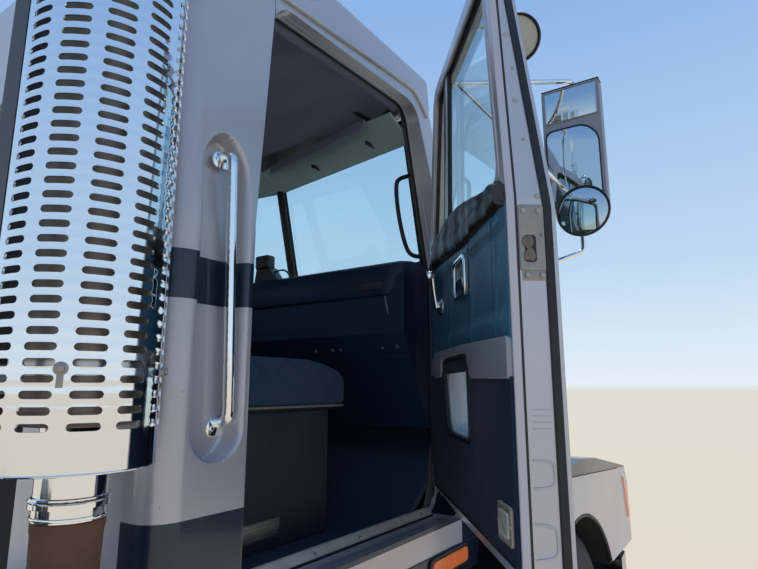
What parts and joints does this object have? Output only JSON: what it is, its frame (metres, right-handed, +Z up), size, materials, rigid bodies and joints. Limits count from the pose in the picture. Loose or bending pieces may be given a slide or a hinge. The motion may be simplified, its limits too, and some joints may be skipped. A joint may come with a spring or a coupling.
{
  "type": "semi trailer tractor unit",
  "caption": "Bonneted three-axle road tractor with day cab, twin drive wheels, upright exhaust, tilting hood, opening doors and fifth wheel.",
  "frame": {"origin": "on the ground under the middle of the overall length and width", "axes": "+X forward, +Y to the driver's side, +Z up"},
  "size_m": [6.92, 3.1897, 3.48],
  "materials": {
    "frame_paint": "satin black chassis paint",
    "bumper_paint": "dark navy paint",
    "axle_cast": "painted casting",
    "engine_cast": "painted block",
    "radiator_core": "dark core",
    "tank_alloy": "polished",
    "step_alloy": "tread plate",
    "box_paint": "satin black",
    "air_tank_paint": "satin black",
    "cab_grey": "metallic grey with navy stripes",
    "hood_grey": "metallic grey with navy top",
    "door_grey": "metallic grey with navy stripes",
    "floor_mat": "dark floor covering",
    "glass": "tinted glass",
    "dash_navy": "grained navy plastic",
    "seat_base": "charcoal vinyl",
    "seat_fabric": "blue woven fabric",
    "steering_plastic": "black rim",
    "column_plastic": "black shroud",
    "handle_chrome": "polished",
    "stack_metal": "chrome pipe with rust below",
    "pipe_rust": "rusted pipe",
    "muffler_metal": "heat stained",
    "shield_chrome": "polished and slotted",
    "mount_paint": "satin black",
    "fifth_steel": "greased black",
    "lamp_bar": "black bar, red lamps",
    "grille_chrome": "bright bars",
    "lamp_lens": "clear lens",
    "mirror_steel": "polished steel",
    "knuckle_cast": "painted casting",
    "tyre": "worn rubber",
    "wheel_paint": "silver steel disc wheel"
  },
  "bodies": {
    "chassis": {"frame_rails": "frame_paint", "front_bumper": "bumper_paint", "front_axle": "axle_cast", "drive_axles": "axle_cast", "rear_suspension": "axle_cast", "crossmembers": "frame_paint", "exhaust_pipe": "pipe_rust", "engine": "engine_cast", "radiator": "radiator_core", "fuel_tank_right": "tank_alloy", "fuel_tank_left": "tank_alloy", "tank_steps": "step_alloy", "battery_box": "box_paint", "air_tanks": "air_tank_paint", "cab_corner_right": "cab_grey", "cab_corner_left": "cab_grey", "cab_floor": "floor_mat", "cab_back": "cab_grey", "cab_roof": "cab_grey", "cab_front": "cab_grey", "cab_glass": "glass", "dashboard": "dash_navy", "engine_cover": "dash_navy", "seat_bases": "seat_base", "seat_cushions": "seat_fabric", "seat_backs": "seat_fabric", "steering_column": "column_plastic", "grab_handles": "handle_chrome", "exhaust_stack": "stack_metal", "muffler": "muffler_metal", "heat_shield": "shield_chrome", "exhaust_mount": "mount_paint", "fifth_wheel_base": "frame_paint", "rear_lamp_bar": "lamp_bar"},
    "hood": {"hood_shell": "hood_grey", "grille": "grille_chrome", "headlamps": "lamp_lens"},
    "door_right": {"door_shell_right": "door_grey", "door_glass_right": "glass", "mirror_right": "mirror_steel"},
    "door_left": {"door_shell_left": "door_grey", "door_glass_left": "glass", "mirror_left": "mirror_steel"},
    "knuckle_right": {"knuckle_right": "knuckle_cast"},
    "knuckle_left": {"knuckle_left": "knuckle_cast"},
    "tie_rod": {"tie_rod": "knuckle_cast"},
    "fifth_wheel": {"fifth_wheel_plate": "fifth_steel"},
    "steering_wheel": {"steering_wheel": "steering_plastic"},
    "wheel_front_right": {"front_tyre_right": "tyre", "front_wheel_right": "wheel_paint"},
    "wheel_forward_right": {"drive_tyres_forward_right": "tyre", "drive_wheels_forward_right": "wheel_paint"},
    "wheel_rearward_right": {"drive_tyres_rearward_right": "tyre", "drive_wheels_rearward_right": "wheel_paint"},
    "wheel_front_left": {"front_tyre_left": "tyre", "front_wheel_left": "wheel_paint"},
    "wheel_forward_left": {"drive_tyres_forward_left": "tyre", "drive_wheels_forward_left": "wheel_paint"},
    "wheel_rearward_left": {"drive_tyres_rearward_left": "tyre", "drive_wheels_rearward_left": "wheel_paint"}
  },
  "joints": [
    {"name": "hood_tilt", "type": "hinge", "parent": "chassis", "child": "hood", "pos_m": [3.42, 0, 0.835], "axis": [0, 1, 0], "range_deg": [0, 60]},
    {"name": "door_right_swing", "type": "hinge", "parent": "chassis", "child": "door_right", "pos_m": [1.665, -1.03, 1.6], "axis": [0, 0, 1], "range_deg": [-38, 30]},
    {"name": "door_left_swing", "type": "hinge", "parent": "chassis", "child": "door_left", "pos_m": [1.665, 1.03, 1.6], "axis": [0, 0, 1], "range_deg": [-68, 0]},
    {"name": "steer_left", "type": "hinge", "parent": "chassis", "child": "knuckle_left", "pos_m": [2.425, 0.9, 0.52], "axis": [0, 0, 1], "range_deg": [-32, 32]},
    {"name": "steer_right", "type": "hinge", "parent": "chassis", "child": "knuckle_right", "pos_m": [2.425, -0.9, 0.52], "axis": [0, 0, 1], "range_deg": [-32, 32]},
    {"name": "tie_rod_slide", "type": "slide", "parent": "chassis", "child": "tie_rod", "axis": [0, 1, 0], "range_m": [-0.107, 0.107]},
    {"name": "steering_turn", "type": "hinge", "parent": "chassis", "child": "steering_wheel", "pos_m": [1.29, 0.52, 2.02], "axis": [-0.6428, 0, 0.766], "range_deg": [-512, 512]},
    {"name": "spin_front_right", "type": "hinge", "parent": "knuckle_right", "child": "wheel_front_right", "pos_m": [2.425, -1.03, 0.52], "axis": [0, 1, 0], "continuous": true},
    {"name": "spin_forward_right", "type": "hinge", "parent": "chassis", "child": "wheel_forward_right", "pos_m": [-1.365, -0.91, 0.52], "axis": [0, 1, 0], "continuous": true},
    {"name": "spin_rearward_right", "type": "hinge", "parent": "chassis", "child": "wheel_rearward_right", "pos_m": [-2.685, -0.91, 0.52], "axis": [0, 1, 0], "continuous": true},
    {"name": "spin_front_left", "type": "hinge", "parent": "knuckle_left", "child": "wheel_front_left", "pos_m": [2.425, 1.03, 0.52], "axis": [0, 1, 0], "continuous": true},
    {"name": "spin_forward_left", "type": "hinge", "parent": "chassis", "child": "wheel_forward_left", "pos_m": [-1.365, 0.91, 0.52], "axis": [0, 1, 0], "continuous": true},
    {"name": "spin_rearward_left", "type": "hinge", "parent": "chassis", "child": "wheel_rearward_left", "pos_m": [-2.685, 0.91, 0.52], "axis": [0, 1, 0], "continuous": true},
    {"name": "fifth_wheel_tilt", "type": "hinge", "parent": "chassis", "child": "fifth_wheel", "pos_m": [-1.88, 0, 1.095], "axis": [0, 1, 0], "range_deg": [-12, 12]}
  ],
  "couplings": [
    {"joint": "steer_right", "follows": "steer_left", "ratio": 1},
    {"joint": "tie_rod_slide", "follows": "steer_left", "m_per_rad": -0.19},
    {"joint": "steering_turn", "follows": "steer_left", "ratio": 16}
  ]
}
